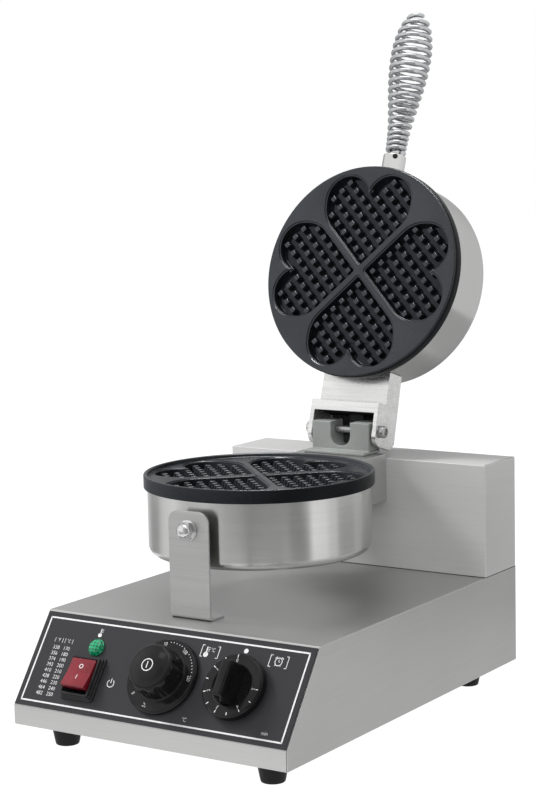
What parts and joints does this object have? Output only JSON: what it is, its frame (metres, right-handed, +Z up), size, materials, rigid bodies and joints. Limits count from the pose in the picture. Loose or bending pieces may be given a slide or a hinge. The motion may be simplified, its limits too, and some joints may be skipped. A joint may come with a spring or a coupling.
{
  "type": "countertop waffle maker",
  "caption": "Electric countertop waffle maker: steel base with sloping controls, round drum head with heart-shaped moulds, hinged lid held open, coil spring handle.",
  "frame": {"origin": "middle of the base's footprint, on the surface under the feet", "axes": "+Z up, -Y towards the user at the sloping control panel, +X to the right seen from the front; the lid is drawn open"},
  "size_m": [0.25, 0.4513, 0.5684],
  "materials": {
    "stainless": "brushed",
    "bolts": "bright plated",
    "baking_plate": "dark satin non-stick coating",
    "hinge_casting": "dull cast",
    "bright_casting": "brushed",
    "knob_black": "gloss",
    "trim_black": "satin",
    "panel_grey": "satin",
    "lamp_green": "clear moulded",
    "rocker_red": "clear moulded",
    "foot_rubber": "matt",
    "sleeve": "matt woven sleeve",
    "regulator": "moulded",
    "mineral_pad": "soft mineral fibre"
  },
  "bodies": {
    "base": {"base_housing": "stainless", "base_plate": "stainless", "rubber_feet": "foot_rubber", "rear_housing": "stainless", "back_cover": "stainless", "cable_gland": "trim_black", "terminal_block": "regulator", "lower_plate": "baking_plate", "lower_drum": "stainless", "lower_heating_element": "stainless", "lower_insulation": "mineral_pad", "support_bolts": "bolts", "sensor_bulb": "stainless", "rear_support": "stainless", "front_strip": "stainless", "strip_bolt": "bolts", "spacer_nut": "bolts", "strip_washer": "bolts", "dome_nut": "bolts", "hinge_block": "hinge_casting", "base_lead_sleeve": "sleeve", "control_panel": "panel_grey", "indicator_lamp": "lamp_green", "rocker_housing": "trim_black", "thermostat_body": "regulator", "timer_body": "regulator"},
    "lid": {"upper_plate": "baking_plate", "upper_drum": "stainless", "upper_heating_element": "stainless", "upper_insulation": "mineral_pad", "lid_bracket_bolts": "bolts", "lid_bracket": "bright_casting", "hinge_pin": "bolts", "hinge_cap_nut": "bolts", "lid_lead_sleeve": "sleeve", "handle_ferrule": "bright_casting", "handle_rod": "bolts", "handle_nut": "bolts", "handle_spring": "bolts"},
    "temperature_dial": {"temperature_knob": "knob_black", "thermostat_spindle": "bolts"},
    "timer_dial": {"timer_knob": "knob_black", "timer_spindle": "bolts"},
    "rocker": {"power_rocker": "rocker_red"}
  },
  "joints": [
    {"name": "lid_hinge", "type": "hinge", "parent": "base", "child": "lid", "pos_m": [-0.006, 0.1238, 0.2145], "axis": [1, 0, 0], "range_deg": [0, 106.6]},
    {"name": "temperature_turn", "type": "hinge", "parent": "base", "child": "temperature_dial", "pos_m": [0.0025, -0.15709, 0.06546], "axis": [0, 0.8093, -0.5874], "range_deg": [0, 300]},
    {"name": "timer_turn", "type": "hinge", "parent": "base", "child": "timer_dial", "pos_m": [0.068, -0.15709, 0.06546], "axis": [0, 0.8093, -0.5874], "range_deg": [0, 300]},
    {"name": "rocker_tilt", "type": "hinge", "parent": "base", "child": "rocker", "pos_m": [-0.0684, -0.16453, 0.05777], "axis": [1, 0, 0], "range_deg": [0, 18.6]}
  ]
}
